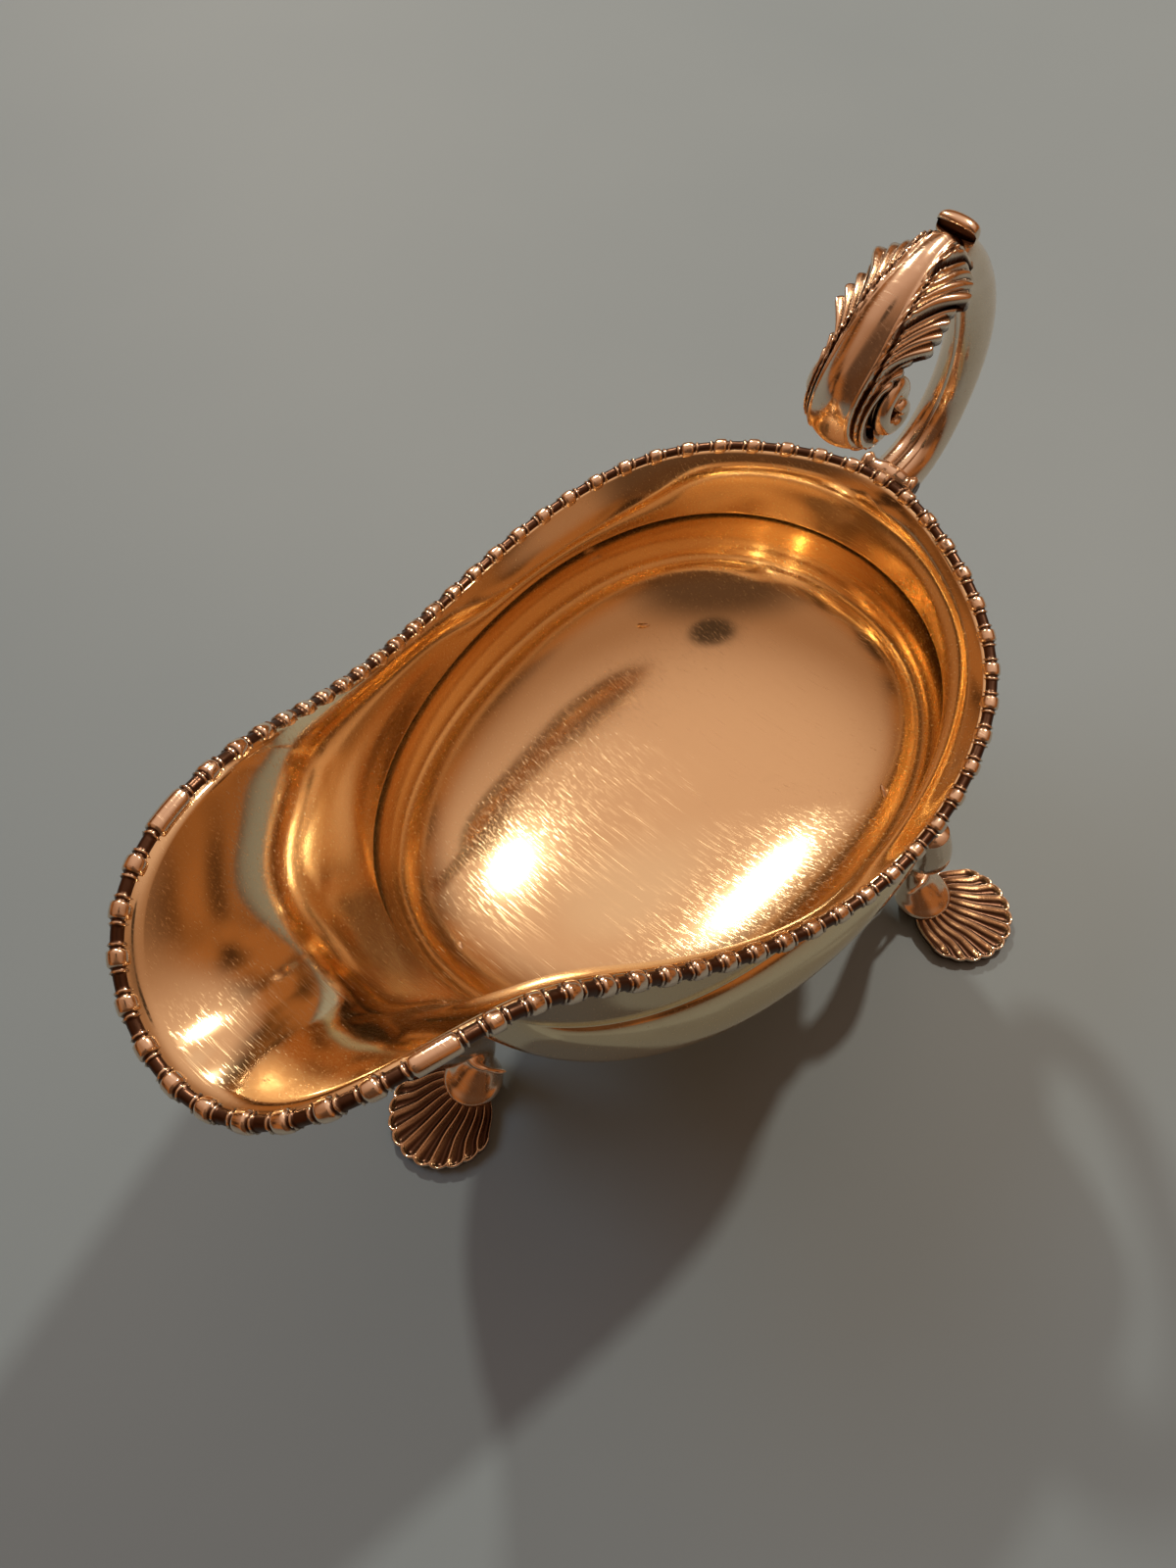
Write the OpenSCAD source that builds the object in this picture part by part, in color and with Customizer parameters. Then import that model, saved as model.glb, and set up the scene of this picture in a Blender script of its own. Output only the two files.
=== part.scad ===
// Sauce boat on three shell feet, with a gadrooned rim and a leaf-capped flying scroll handle.
// +X points to the handle, -X to the spout, +Z is up, and the feet stand on Z = 0.

/* [Rim] */
// Height of the rim above the table at the handle
rim_back_z = 81.5; // [78:0.5:85]
// Height of the rim above the table at its lowest, beside the bowl
rim_low_z = 73; // [70:0.5:76]
// Height of the rim above the table at the top of the lip's sides
lip_top_z = 113.5; // [109:0.5:117]
// Height of the rim above the table at the tip of the lip
lip_tip_z = 104; // [101:0.5:107]
// Half the width of the bowl at its rim
rim_half_w = 47.8; // [45:0.2:50]
// Half the width of the lip where it is widest
lip_half_w = 27; // [25:0.5:29]
// Distance from the bowl's centre line to the rim at the handle
rim_back_reach = 57.4; // [55:0.2:59]
// Distance from the bowl's centre line to the tip of the lip
lip_reach = 106.2; // [104:0.2:109]

/* [Bowl] */
// Height of the underside of the bowl above the table
bowl_bottom_z = 29; // [26:0.5:32]
// Height of the widest line of the belly
belly_z = 55; // [52:0.5:57]
// Half the width of the belly
belly_half_w = 48; // [46:0.5:50]
// Height of the neck line between the flared rim band and the belly
neck_z = 66; // [65:0.2:67]
// Thickness of the raised silver sheet
wall = 1; // [0.8:0.1:1.3]

/* [Border] */
// Number of gadroons round the whole rim
gadroons = 68; // [64:2:72]
// Gadroons that the separate lip length of the border carries
lip_gadroons = 12; // [10:2:14]
// Radius of the border wire over a gadroon
border_r = 1.5; // [1.3:0.1:1.7]

/* [Handle] */
// Radius of the stem of the handle
stem_r = 4.2; // [3.8:0.1:4.6]
// Height of the top of the handle
handle_top_z = 134; // [131:0.5:136]
// Half the width of the leaf that caps the handle
leaf_half_w = 8.6; // [8:0.2:9]
// Thickness of the leaf cap
leaf_t = 1.6; // [1.4:0.1:2]

/* [Feet] */
// Distance from the bowl's centre line to the middle of the front shell foot
front_foot_r = 73; // [71:0.5:75]
// Distance from the bowl's centre line to the middle of each rear shell foot
rear_foot_r = 65; // [63:0.5:67]
// Angle of each rear foot round the bowl, from the handle
rear_foot_angle = 58; // [55:0.5:61]
// Angle that each rear foot points to, from the handle's direction
rear_foot_turn = 74; // [68:1:80]
// Angle of each rear leg's knee round the bowl, from the handle
rear_knee_angle = 62; // [58:0.5:66]
// Radius of a shell foot
foot_r = 11.2; // [10.5:0.1:12]
// Thickness of a shell foot
foot_t = 2.4; // [2:0.1:3]
// Scallops round the edge of a shell foot
foot_flutes = 11; // [9:1:13]
// Radius of a leg at its thinnest
leg_r = 2.7; // [2.4:0.1:3]
// Radius of the bell that spreads from each leg on to its foot
bell_r = 6.2; // [5:0.1:6.8]

/* [Hidden] */

silver = [0.80, 0.78, 0.74];
dark_silver = [0.62, 0.58, 0.53];

// X of the bowl's vertical centre line. Every piece is drawn about that line and then moved by this,
// which puts the origin under the middle of the whole boat
centre_x = 12.7;
// Columns of faces on each half of the bowl
half_columns = 42;

module place() translate([centre_x, 0, 0]) children();

// ---- Curves ----

function mix(a, b, t) = a + (b - a) * t;
function smooth(t) = let (c = min(1, max(0, t))) c * c * (3 - 2 * c);
function unit(v) = v / norm(v);
function bezier(a, b, c, d, t) =
    let (s = 1 - t) s * s * s * a + 3 * s * s * t * b + 3 * s * t * t * c + t * t * t * d;

// A smooth curve through the points p, at s = 0 to len(p) - 1; before and after lead into its ends
function through(p, s, before, after) =
    let (i = min(len(p) - 2, floor(s)), t = s - i,
         a = i == 0 ? before : p[i - 1], b = p[i], c = p[i + 1],
         d = i == len(p) - 2 ? after : p[i + 2])
    0.5 * (2 * b + (c - a) * t + (2 * a - 5 * b + 4 * c - d) * t * t + (3 * b - a - 3 * c + d) * t * t * t);
function path_at(p, s) = through(p, s, 2 * p[0] - p[1], 2 * p[len(p) - 1] - p[len(p) - 2]);

// Closed solid over rings of points that all have the same count
module skin(rings) {
    n = len(rings[0]);
    last = len(rings) - 1;
    sides = [for (i = [0 : last - 1], j = [0 : n - 1])
        let (a = i * n + j, b = i * n + (j + 1) % n, c = a + n, d = b + n)
        each [[a, b, c], [b, d, c]]];
    caps = [[for (j = [n - 1 : -1 : 0]) j], [for (j = [0 : n - 1]) last * n + j]];
    polyhedron([for (r = rings) each r], concat(sides, caps), convexity = 8);
}

// ---- Rim ----

// One side of the rim, from the handle round to the tip of the lip
rim_side = [
    [rim_back_reach, 0, rim_back_z],
    [rim_back_reach - 5.4, 0.37 * rim_half_w, rim_back_z],
    [37.5, 0.8 * rim_half_w, rim_low_z + 4.2],
    [12.5, 0.995 * rim_half_w, rim_low_z],
    [-14, 0.97 * rim_half_w, rim_low_z + 1.6],
    [-36.5, 0.845 * rim_half_w, rim_low_z + 11],
    [-55.5, lip_half_w + 6.4, lip_top_z - 15.2],
    [-70.5, lip_half_w + 1.2, lip_top_z - 3.6],
    [-83, 0.93 * lip_half_w, lip_top_z],
    [-lip_reach + 10.2, 0.73 * lip_half_w, lip_top_z - 1.7],
    [-lip_reach + 2.4, 0.4 * lip_half_w, lip_tip_z + 2.4],
    [-lip_reach, 0, lip_tip_z]];
rim_last = len(rim_side) - 1;

function flip(p) = [p.x, -p.y, p.z];
function rim_half(s) = through(rim_side, s, flip(rim_side[1]), flip(rim_side[rim_last - 1]));
// The whole rim: s runs from 0 at the handle, past rim_last at the tip, back to 2 * rim_last
function rim(s) =
    let (w = s - 2 * rim_last * floor(s / (2 * rim_last)))
    w <= rim_last ? rim_half(w) : flip(rim_half(2 * rim_last - w));

// Rim length up to each of many places, so that gadroons can be spaced evenly
rim_steps = 220;
rim_places = [for (k = [0 : rim_steps]) k * 2 * rim_last / rim_steps];
rim_lengths = [for (k = 0, len = 0; k <= rim_steps;
    len = len + (k < rim_steps ? norm(rim(rim_places[k + 1]) - rim(rim_places[k])) : 0), k = k + 1) len];
rim_table = [for (k = [0 : rim_steps]) [rim_lengths[k] / rim_lengths[rim_steps], rim_places[k]]];
function rim_by_length(f) = lookup(f - floor(f), rim_table);

// ---- Bowl ----

// Distance from the centre line to an oval, in the direction of angle a
function oval(a, back, front, half_w, power = 2.15) =
    let (reach = cos(a) > 0 ? back : front)
    pow(pow(abs(cos(a)) / reach, power) + pow(abs(sin(a)) / half_w, power), -1 / power);
function belly_radius(a) = oval(a, 57, 67, belly_half_w);
function neck_radius(a) = oval(a, 54, 67, belly_half_w - 4.5);

// Outer profile below rim place s, as [distance from the centre line, height] from rim to bottom
band_rows = 7;
neck_rows = 4;
base_rows = 8;
function profile(s) =
    let (p = rim(s), a = atan2(p.y, p.x), top = [norm([p.x, p.y]), p.z],
         neck = [neck_radius(a), neck_z], belly = [belly_radius(a), belly_z],
         // 0 beside the bowl, 1 along the spout
         spout = smooth((top.x - neck.x - 6) / 36), reach = norm(top - neck),
         flare = mix(48, 16, spout), throat = mix(86, 64, spout), swell = mix([2.6, -2.2], [-0.8, -3], spout))
    concat(
        [for (i = [0 : band_rows - 1]) bezier(top, top - 0.42 * reach * [cos(flare), sin(flare)],
            neck + 0.38 * reach * [cos(throat), sin(throat)], neck, i / band_rows)],
        [for (i = [0 : neck_rows - 1]) bezier(neck, neck + swell, belly + [0, 4.5], belly,
            i / neck_rows)],
        [for (i = [0 : base_rows - 1]) let (t = 90 * i / base_rows)
            [belly.x * pow(cos(t), 0.95), belly_z - (belly_z - bowl_bottom_z) * pow(sin(t), 0.95)]]);

// The same profile moved in by the thickness of the sheet
function inner_profile(p) = [for (i = [0 : len(p) - 1])
    let (a = p[max(0, i - 1)], b = i == len(p) - 1 ? [0, bowl_bottom_z] : p[i + 1], d = unit(b - a))
    [max(0.5, p[i].x + wall * d.y), p[i].y - wall * d.x]];

function around(s, q) = let (p = rim(s), a = atan2(p.y, p.x)) [q.x * cos(a), q.x * sin(a), q.y];

module bowl() {
    columns = 2 * half_columns;
    places = [for (k = [0 : columns - 1]) k * 2 * rim_last / columns];
    outers = [for (s = places) profile(s)];
    rows = len(outers[0]);
    inners = [for (p = outers) inner_profile(p)];
    points = concat(
        [for (i = [0 : rows - 1], k = [0 : columns - 1]) around(places[k], outers[k][i])],
        [for (i = [0 : rows - 1], k = [0 : columns - 1]) around(places[k], inners[k][i])],
        [[0, 0, bowl_bottom_z], [0, 0, bowl_bottom_z + wall]]);
    inner = rows * columns;
    bottom = 2 * inner;
    edge = (rows - 1) * columns;
    faces = concat(
        [for (i = [0 : rows - 2], k = [0 : columns - 1])
            let (a = i * columns + k, b = i * columns + (k + 1) % columns)
            each [[a, b, a + columns], [b, b + columns, a + columns]]],
        [for (i = [0 : rows - 2], k = [0 : columns - 1])
            let (a = inner + i * columns + k, b = inner + i * columns + (k + 1) % columns)
            each [[a, a + columns, b], [b, a + columns, b + columns]]],
        [for (k = [0 : columns - 1]) let (n = (k + 1) % columns) each [[k, inner + k, n], [n, inner + k, inner + n]]],
        [for (k = [0 : columns - 1]) let (n = (k + 1) % columns)
            each [[edge + k, edge + n, bottom], [inner + edge + k, bottom + 1, inner + edge + n]]]);
    color(silver) polyhedron(points, faces, convexity = 10);
}

// ---- Gadrooned border ----

// Wire radius at four places along one gadroon: its lobe, a groove, the fillet and a groove
gadroon_form = [1, 0.74, 0.92, 0.74];

// Ring of the border wire at step k, with four steps to a gadroon
function border_ring(k) =
    let (s = rim_by_length(k / (4 * gadroons)), p = rim(s), along = unit(rim(s + 0.02) - rim(s - 0.02)),
         out = unit(cross(along, [0, 0, 1])), up = cross(out, along),
         r = border_r * gadroon_form[k % 4])
    [for (j = [0 : 7]) p + out * (0.4 + r * cos(45 * j)) + up * (0.3 + r * sin(45 * j))];

// Length of the border between two gadroons, counted from the handle
module border(first, last) {
    color(dark_silver) skin([for (k = [4 * first : 4 * last]) border_ring(k)]);
}

lip_first = (gadroons - lip_gadroons) / 2;
module bowl_border() border(lip_first + lip_gadroons, lip_first + gadroons);
module lip_border() border(lip_first, lip_first + lip_gadroons);

// ---- Handle ----

// Centre line of the handle in the XZ plane, from the rim out, up and over to the rolled end,
// as [x, z, radius of the stem there]
handle_line = [
    [60, 78, stem_r + 0.6],
    [70, 79.5, stem_r + 0.3],
    [77, 88, stem_r],
    [78.6, 101, stem_r],
    [74.8, 113.5, stem_r],
    [68, 124, stem_r - 0.2],
    [60, handle_top_z - 3.8, stem_r - 0.4],
    [50, handle_top_z - 4.4, stem_r - 0.6],
    [41, handle_top_z - 9.4, stem_r - 0.8],
    [36.2, 118.4, stem_r - 1],
    [38.2, 112.6, stem_r - 1.2],
    [43, 111.6, stem_r - 1.6],
    [46, 114.6, stem_r - 2]];
handle_steps = 34;
// The leaf lies over this stretch of the line, in steps of the line's own points
leaf_from = 6;
leaf_to = 11;
// How far the leaf's edges droop below its middle
leaf_droop = 3.2;

// Half of the handle's skin, on the side of sign, closed along the seam
module handle_half(sign) {
    last = len(handle_line) - 1;
    color(silver) skin([for (k = [0 : handle_steps])
        let (s = k * last / handle_steps, q = path_at(handle_line, s),
             d = unit(path_at(handle_line, min(last, s + 0.05)) - path_at(handle_line, max(0, s - 0.05))),
             n = unit([d.y, -d.x]), turns = sign > 0 ? [5 : -1 : 0] : [0 : 5])
        [for (j = turns) let (a = 180 * j / 5 - 90)
            [q.x - n.x * q.z * sin(a), sign * q.z * cos(a), q.y - n.y * q.z * sin(a)]]]);
}
module handle_half_left() handle_half(1);
module handle_half_right() handle_half(-1);

// Leaf over the top of the handle: a curved strip, widest in its middle
module handle_leaf_cap() {
    steps = 16;
    color(dark_silver) skin([for (k = [0 : steps])
        let (t = k / steps, s = mix(leaf_from, leaf_to, t), q = path_at(handle_line, s),
             d = unit(path_at(handle_line, s + 0.05) - path_at(handle_line, s - 0.05)),
             n = unit([d.y, -d.x]), half_w = leaf_half_w * mix(0.55, 1, smooth(2.6 * t)) * mix(1, 0.7, smooth(2.4 * t - 1.4)),
             crown = q.z + leaf_t)
        concat(
            [for (j = [6 : -1 : 0]) let (w = mix(-1, 1, j / 6), rise = crown - leaf_droop * w * w)
                [q.x + n.x * rise, half_w * w, q.y + n.y * rise]],
            [for (j = [0 : 6]) let (w = mix(-1, 1, j / 6), rise = crown - leaf_t - leaf_droop * w * w)
                [q.x + n.x * rise, 0.96 * half_w * w, q.y + n.y * rise]])]);
}

// Rolled bar across the handle
module roll(x, z, r, length) {
    translate([x, 0, z]) rotate([90, 0, 0]) cylinder(h = length, r = r, center = true, $fn = 32);
}
module handle_thumb_scroll() color(silver) roll(61.5, handle_top_z + 0.6, 2.4, 6.8);
module handle_scroll_eyes() color(silver) roll(42.2, 116.5, 3.2, 13);
module handle_root_collar() color(silver) roll(rim_back_reach + 3.2, rim_back_z - 0.6, 2.2, 12);

// ---- Legs ----

// Places something at angle a round the bowl's centre line, with its own +X outwards
module around_bowl(a) rotate([0, 0, a]) children();

// A foot is [distance of its middle from the centre line, angle round the bowl, angle it points to].
// Distance from a foot's middle back to the hinge that its flutes spread from
hinge = 9.2;
front_foot = [front_foot_r, 180, 180];
function rear_foot(side) = [rear_foot_r, side * rear_foot_angle, side * rear_foot_turn];

// Point at x along the foot's own direction from its middle, at height z
function foot_point(foot, x, z) =
    [foot[0] * cos(foot[1]) + x * cos(foot[2]), foot[0] * sin(foot[1]) + x * sin(foot[2]), z];

// Scallop shell lying flat, a fan of flutes from its hinge to a round edge
module shell_foot(foot) {
    spread = 57;
    steps = foot_flutes * 4;
    color(dark_silver) translate(foot_point(foot, -hinge, 0)) rotate([0, 0, foot[2]])
        linear_extrude(foot_t) polygon(concat([[-3, -2], [-3, 2]],
            [for (i = [0 : steps]) let (t = spread - 2 * spread * i / steps,
                reach = hinge * cos(t) + sqrt(foot_r * foot_r - pow(hinge * sin(t), 2)) - 0.5 * pow(cos(45 * i), 2))
                reach * [cos(t), sin(t)]]));
}

// Curved leg from the knee on the lower belly down to the hinge of its foot, ending in a bell
module leg(knee_angle, foot) {
    reach = belly_radius(knee_angle) + 3;
    out = [cos(knee_angle), sin(knee_angle), 0];
    across = [-sin(knee_angle), cos(knee_angle), 0];
    ankle = foot_point(foot, -hinge - 3.6, 15);
    bend = (reach + 1) * out + [0, 0, 35];
    points = [(reach - 0.5) * out + [0, 0, 44], bend, mix(bend, ankle, 0.55), ankle,
              foot_point(foot, -hinge - 1.6, 7)];
    radii = [leg_r + 1.6, leg_r + 0.8, leg_r, leg_r, leg_r + 1];
    last = len(points) - 1;
    steps = 14;
    color(silver) {
        skin([for (k = [0 : steps])
            let (s = k * last / steps, q = path_at(points, s), r = path_at(radii, s),
                 d = unit(path_at(points, min(last, s + 0.05)) - path_at(points, max(0, s - 0.05))),
                 b = unit(across - d * (d * across)), n = cross(b, d))
            [for (j = [9 : -1 : 0]) q + r * (cos(36 * j) * n + sin(36 * j) * b)]]);
        hull() {
            translate(foot_point(foot, -hinge, foot_t - 0.4)) cylinder(h = 1.4, r = bell_r, $fn = 32);
            translate(foot_point(foot, -hinge - 2.6, 11)) cylinder(h = 1, r = leg_r + 0.4, $fn = 32);
        }
    }
}

// Domed shell that covers the joint between a leg and the bowl
module knuckle_shell(a) {
    color(dark_silver) around_bowl(a) translate([belly_radius(a) - 1.8, 0, 46.5]) rotate([0, 105, 0])
        rotate_extrude($fn = 48) polygon([[0, 0], [8, 0], [8.8, 1], [7.4, 3.4], [4, 5.6], [0, 6.4]]);
}

module front_knuckle_shell() knuckle_shell(180);
module front_leg() leg(180, front_foot);
module front_shell_foot() shell_foot(front_foot);
module rear_left_knuckle_shell() knuckle_shell(rear_knee_angle);
module rear_left_leg() leg(rear_knee_angle, rear_foot(1));
module rear_left_shell_foot() shell_foot(rear_foot(1));
module rear_right_knuckle_shell() knuckle_shell(-rear_knee_angle);
module rear_right_leg() leg(-rear_knee_angle, rear_foot(-1));
module rear_right_shell_foot() shell_foot(rear_foot(-1));

place() bowl();
place() bowl_border();
place() lip_border();
place() handle_half_left();
place() handle_half_right();
place() handle_leaf_cap();
place() handle_thumb_scroll();
place() handle_scroll_eyes();
place() handle_root_collar();
place() front_knuckle_shell();
place() front_leg();
place() front_shell_foot();
place() rear_left_knuckle_shell();
place() rear_left_leg();
place() rear_left_shell_foot();
place() rear_right_knuckle_shell();
place() rear_right_leg();
place() rear_right_shell_foot();
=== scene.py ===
# %% [markdown]
# # A silver sauce boat
# This lesson dresses a packed CAD model of a silver sauce boat: a raised bowl with a wide pouring lip, a
# gadrooned wire round its rim, a scroll handle capped with a leaf, and three legs that end in scallop
# shells. The CAD model gives every piece its place. Polished metal shows every facet, so each piece is
# made again here as a fine, smooth mesh of the same size.

# %% The frame
import math

import bmesh
import bpy
import numpy as np
from mathutils import Matrix, Vector


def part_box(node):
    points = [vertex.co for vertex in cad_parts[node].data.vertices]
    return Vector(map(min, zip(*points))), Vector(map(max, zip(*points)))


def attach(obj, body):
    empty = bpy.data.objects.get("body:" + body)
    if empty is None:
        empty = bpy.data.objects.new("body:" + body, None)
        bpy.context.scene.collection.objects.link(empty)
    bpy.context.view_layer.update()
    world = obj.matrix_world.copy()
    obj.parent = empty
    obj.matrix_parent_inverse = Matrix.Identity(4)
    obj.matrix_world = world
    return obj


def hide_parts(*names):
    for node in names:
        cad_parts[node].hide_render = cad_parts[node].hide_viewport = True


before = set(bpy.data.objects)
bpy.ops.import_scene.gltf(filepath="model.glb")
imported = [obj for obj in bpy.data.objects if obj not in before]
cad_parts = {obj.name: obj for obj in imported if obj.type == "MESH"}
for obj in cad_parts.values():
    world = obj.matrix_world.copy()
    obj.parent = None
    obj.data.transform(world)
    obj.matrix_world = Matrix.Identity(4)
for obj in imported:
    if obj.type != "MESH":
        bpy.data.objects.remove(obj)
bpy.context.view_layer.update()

# %% [markdown]
# ## Measures
# The real boat is about 19 cm long. Everything below is worked out in millimetres about the bowl's own
# upright centre line, and moved to the frame's origin when a mesh is made. The main sizes are read from
# the boxes of the CAD pieces, so the lesson follows the design if that changes.

# %% Sizes read from the frame
MM = 0.001


def box_mm(node):
    low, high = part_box(node)
    return np.array(low) / MM, np.array(high) / MM


bowl_low, bowl_high = box_mm("bowl")
# How far the lip reaches from the centre line gives the place of that line
LIP_REACH = 106.2
CENTRE_X = bowl_low[0] + LIP_REACH
BACK_REACH = bowl_high[0] - CENTRE_X
# A CAD box reaches a little past the points of the curves inside it
BELLY_HALF_WIDTH = bowl_high[1] - 0.1
RIM_HALF_WIDTH = BELLY_HALF_WIDTH - 0.2
LIP_HALF_WIDTH = 27.0
LIP_TOP = bowl_high[2] - 1.0
LIP_DROP = 9.5
LIP_TIP = LIP_TOP - LIP_DROP
RIM_BACK = 81.5
RIM_LOW = 73.0
NECK_HEIGHT = 66.0
BELLY_HEIGHT = 55.0
BOTTOM_HEIGHT = bowl_low[2]
SHEET = 1.0
print(f"bowl centre line at x = {CENTRE_X:.1f} mm, lip top at {LIP_TOP:.1f} mm")

# %% [markdown]
# ## Smooth curves
# A reflection bends wherever the curvature of a surface jumps, so the outlines are cubic splines, whose
# curvature is continuous. The points are few and listed. A closed spline is solved once for its
# slopes, then read at as many places as the mesh needs.

# %% Curve tools


def smoothstep(low, high, x):
    t = np.clip((np.asarray(x, float) - low) / (high - low), 0, 1)
    return t * t * (3 - 2 * t)


def smoother(t):
    t = np.clip(t, 0, 1)
    return t**3 * (t * (6 * t - 15) + 10)


def mix(a, b, t):
    return a + (b - a) * t


def lengths_along(points):
    return np.concatenate([[0], np.cumsum(np.linalg.norm(np.diff(points, axis=0), axis=1))])


def spline(points, closed=False):
    """A cubic spline through points: a function of distance along its chords, and its whole length."""
    p = np.array(points, float)
    if closed:
        p = np.vstack([p, p[:1]])
    knots = lengths_along(p)
    h = np.diff(knots)
    n = len(h)
    rows = np.zeros((n + 1, n + 1))
    right = np.zeros((n + 1, p.shape[1]))
    slope = np.diff(p, axis=0) / h[:, None]
    for i in range(1, n):
        rows[i, i - 1 : i + 2] = h[i - 1], 2 * (h[i - 1] + h[i]), h[i]
        right[i] = 6 * (slope[i] - slope[i - 1])
    if closed:
        rows[0, [0, 1, n - 1]] = 2 * (h[0] + h[-1]), h[0], h[-1]
        right[0] = 6 * (slope[0] - slope[-1])
        rows[n, [0, n]] = 1, -1
    else:
        rows[0, 0] = rows[n, n] = 1
    bend = np.linalg.solve(rows, right)

    def at(distance):
        d = np.asarray(distance, float)
        if closed:
            d = np.mod(d, knots[-1])
        i = np.clip(np.searchsorted(knots, d, side="right") - 1, 0, n - 1)
        a, b = (knots[i + 1] - d)[..., None], (d - knots[i])[..., None]
        w = h[i][..., None]
        return (
            (bend[i] * a**3 + bend[i + 1] * b**3) / (6 * w)
            + (p[i] / w - bend[i] * w / 6) * a
            + (p[i + 1] / w - bend[i + 1] * w / 6) * b
        )

    return at, knots[-1]


def bezier(a, b, c, d, t):
    s = 1 - t
    return a * s**3 + b * 3 * s * s * t + c * 3 * s * t * t + d * t**3


print("half way up a soft step:", float(smoothstep(0, 2, 1)), float(smoother(0.5)))

# %% [markdown]
# ## The rim
# Seen from above, the rim is a narrow oval. Seen from the side, it dips along the middle and climbs to
# the lip. It could be traced, but a traced line wobbles, and a mirror finish shows that. Half of it is a
# few points listed here. The other half is their mirror image.

# %% The rim line
rim_side = [
    [BACK_REACH, 0, RIM_BACK],
    [BACK_REACH - 5.4, 0.37 * RIM_HALF_WIDTH, RIM_BACK],
    [37.5, 0.8 * RIM_HALF_WIDTH, RIM_LOW + 4.2],
    [12.5, 0.995 * RIM_HALF_WIDTH, RIM_LOW],
    [-14, 0.97 * RIM_HALF_WIDTH, RIM_LOW + 1.6],
    [-36.5, 0.845 * RIM_HALF_WIDTH, RIM_LOW + 11],
    [-55.5, LIP_HALF_WIDTH + 6.4, LIP_TOP - 15.2],
    [-70.5, LIP_HALF_WIDTH + 1.2, LIP_TOP - 3.6],
    [-83, 0.93 * LIP_HALF_WIDTH, LIP_TOP],
    [-LIP_REACH + 10.2, 0.73 * LIP_HALF_WIDTH, LIP_TOP - 1.7],
    [-LIP_REACH + 2.4, 0.4 * LIP_HALF_WIDTH, LIP_TIP + 2.4],
    [-LIP_REACH, 0, LIP_TIP],
]
other_side = [[x, -y, z] for x, y, z in rim_side[-2:0:-1]]
rim_at, rim_chords = spline(rim_side + other_side, closed=True)

# The same line with its places spread evenly by true length: rim(0) and rim(1) are at the handle
RIM_SAMPLES = 4000
rim_places = np.linspace(0, rim_chords, RIM_SAMPLES + 1)
rim_lengths = lengths_along(rim_at(rim_places))
RIM_LENGTH = rim_lengths[-1]


def rim(share):
    return rim_at(np.interp(np.mod(share, 1) * RIM_LENGTH, rim_lengths, rim_places))


print(f"rim length {RIM_LENGTH:.0f} mm")

# %% [markdown]
# ## Meshes from grids of points
# Most pieces are sheets of points in rows and columns. One helper joins such a grid into faces, closes
# its ends, moves it from the centre line to the frame, and hands back an object at the origin. A float
# attribute called *relief* goes with the points: 1 on the high places that a polishing cloth reaches and
# 0 in the hollows that it misses. The silver uses it later to keep its tarnish in the hollows. A few
# places are set low to paint shade: under the bell's lip, inside the thumb's hook and on the scroll's core.

# %% Mesh helpers


SAME_PLACE = 1e-7
CAP_RELIEF = 0.6


def in_scene(name, data):
    thing = bpy.data.objects.new(name, data)
    bpy.context.scene.collection.objects.link(thing)
    return thing


def new_object(name, vertices, faces, relief):
    mesh = bpy.data.meshes.new(name)
    moved = (np.array(vertices, float) + [CENTRE_X, 0, 0]) * MM
    mesh.from_pydata(moved.tolist(), [], [tuple(f) for f in faces])
    mesh.validate()
    marks = mesh.attributes.new("relief", "FLOAT", "POINT")
    marks.data.foreach_set("value", np.ravel(relief).astype(np.float32))
    mesh.polygons.foreach_set("use_smooth", [True] * len(mesh.polygons))
    return in_scene(name, mesh)


def grid_faces(rows, columns, wrap_rows=False, wrap_columns=True, start=0):
    i = np.arange(rows if wrap_rows else rows - 1)[:, None]
    j = np.arange(columns if wrap_columns else columns - 1)[None, :]
    i2, j2 = (i + 1) % rows, (j + 1) % columns
    quads = np.stack([i * columns + j, i * columns + j2, i2 * columns + j2, i2 * columns + j], axis=-1)
    return (quads.reshape(-1, 4) + start).tolist()


def outward(piece):
    """Turns every face of a closed mesh outwards."""
    bm = bmesh.new()
    bm.from_mesh(piece.data)
    bmesh.ops.remove_doubles(bm, verts=bm.verts, dist=SAME_PLACE)
    bmesh.ops.recalc_face_normals(bm, faces=bm.faces)
    bm.to_mesh(piece.data)
    bm.free()
    return piece


def tube_object(name, rings, relief):
    """A closed skin over rings of points, with a fan over each end."""
    rings = np.array(rings, float)
    count, around = rings.shape[:2]
    faces = grid_faces(count, around)
    ends = [rings[0].mean(axis=0), rings[-1].mean(axis=0)]
    points = np.vstack([rings.reshape(-1, 3), ends])
    first, last = count * around, count * around + 1
    for j in range(around):
        k = (j + 1) % around
        faces += [(first, k, j), (last, (count - 1) * around + j, (count - 1) * around + k)]
    relief = np.concatenate([np.ravel(relief), [CAP_RELIEF, CAP_RELIEF]])
    return outward(new_object(name, points, faces, relief))


def finish_piece(piece, nodes, material):
    piece.data.materials.clear()
    piece.data.materials.append(material)
    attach(piece, "root")
    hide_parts(*nodes)
    print(f"{piece.name}: {len(piece.data.polygons)} faces")
    return piece


print("a ring of 4 points swept over 3 rows has", len(grid_faces(3, 4)), "faces")

# %% [markdown]
# ## Node maths as Python
# Blender's node trees are written here as expressions. *Link* wraps one socket and overloads the
# operators, so `1 - mask * 0.5` adds the Math nodes that it needs. Every other node comes from
# `Tree.add`, which takes the node's type, its settings, and what goes into its sockets. The same two
# classes serve the silver's shader, the room's light and the Geometry Nodes of the border.

# %% Node tools


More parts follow.
